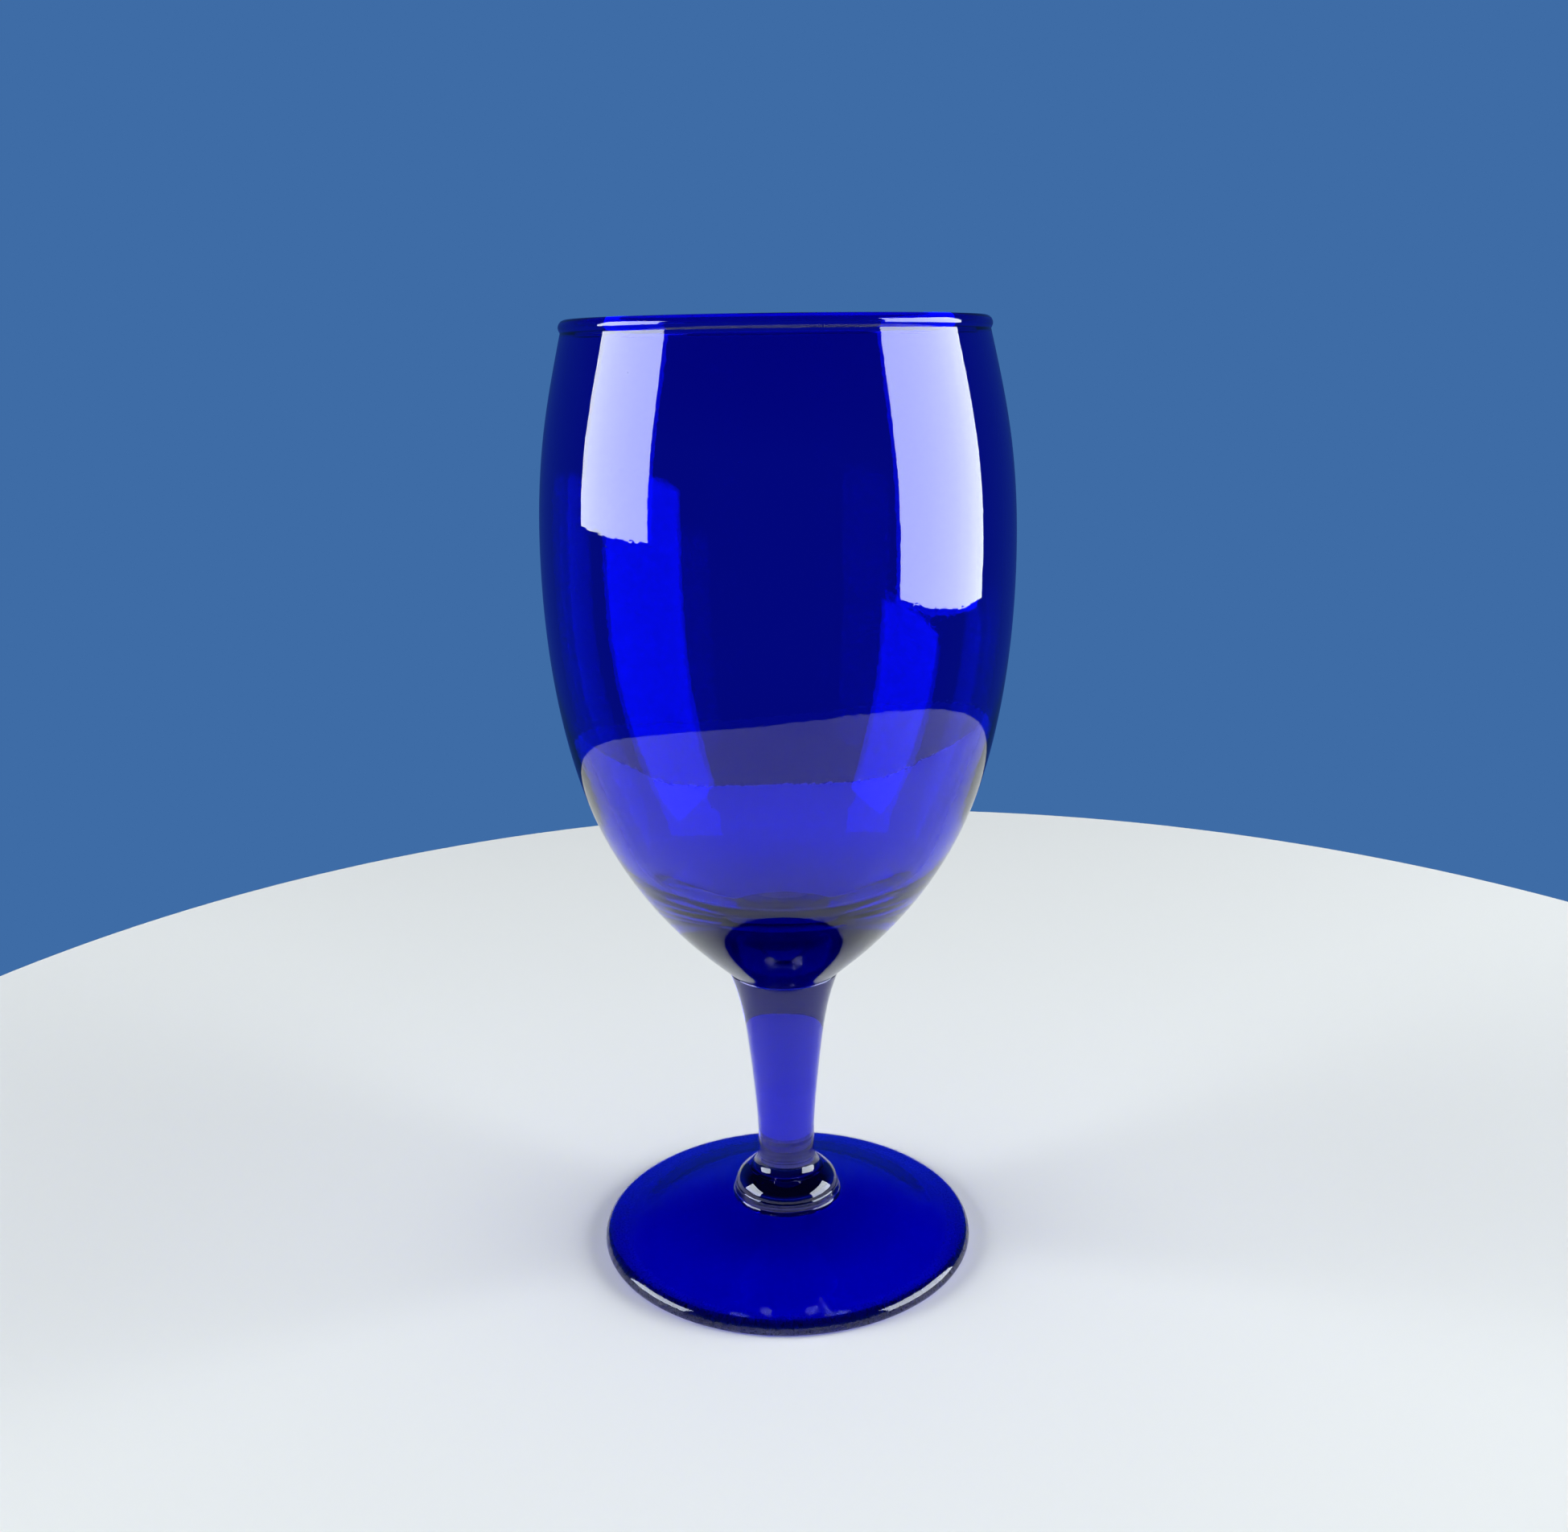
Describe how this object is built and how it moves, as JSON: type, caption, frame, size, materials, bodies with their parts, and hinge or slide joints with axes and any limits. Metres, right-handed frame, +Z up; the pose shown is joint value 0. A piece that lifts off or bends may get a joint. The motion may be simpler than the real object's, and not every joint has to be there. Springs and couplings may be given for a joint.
{
  "type": "stemmed glass goblet",
  "caption": "Cobalt blue glass goblet with a tulip-shaped bowl, a short flared stem over a domed knop and collar, and a round cone-topped foot.",
  "frame": {"origin": "centre of the flat ring the foot rests on", "axes": "+Z up along the goblet's axis, out of the bowl's mouth"},
  "size_m": [0.0838, 0.0838, 0.175],
  "materials": {
    "cobalt_glass": "clear, fire-polished"
  },
  "bodies": {
    "root": {"bowl": "cobalt_glass", "stem": "cobalt_glass", "knop": "cobalt_glass", "collar": "cobalt_glass", "foot": "cobalt_glass"}
  },
  "joints": []
}
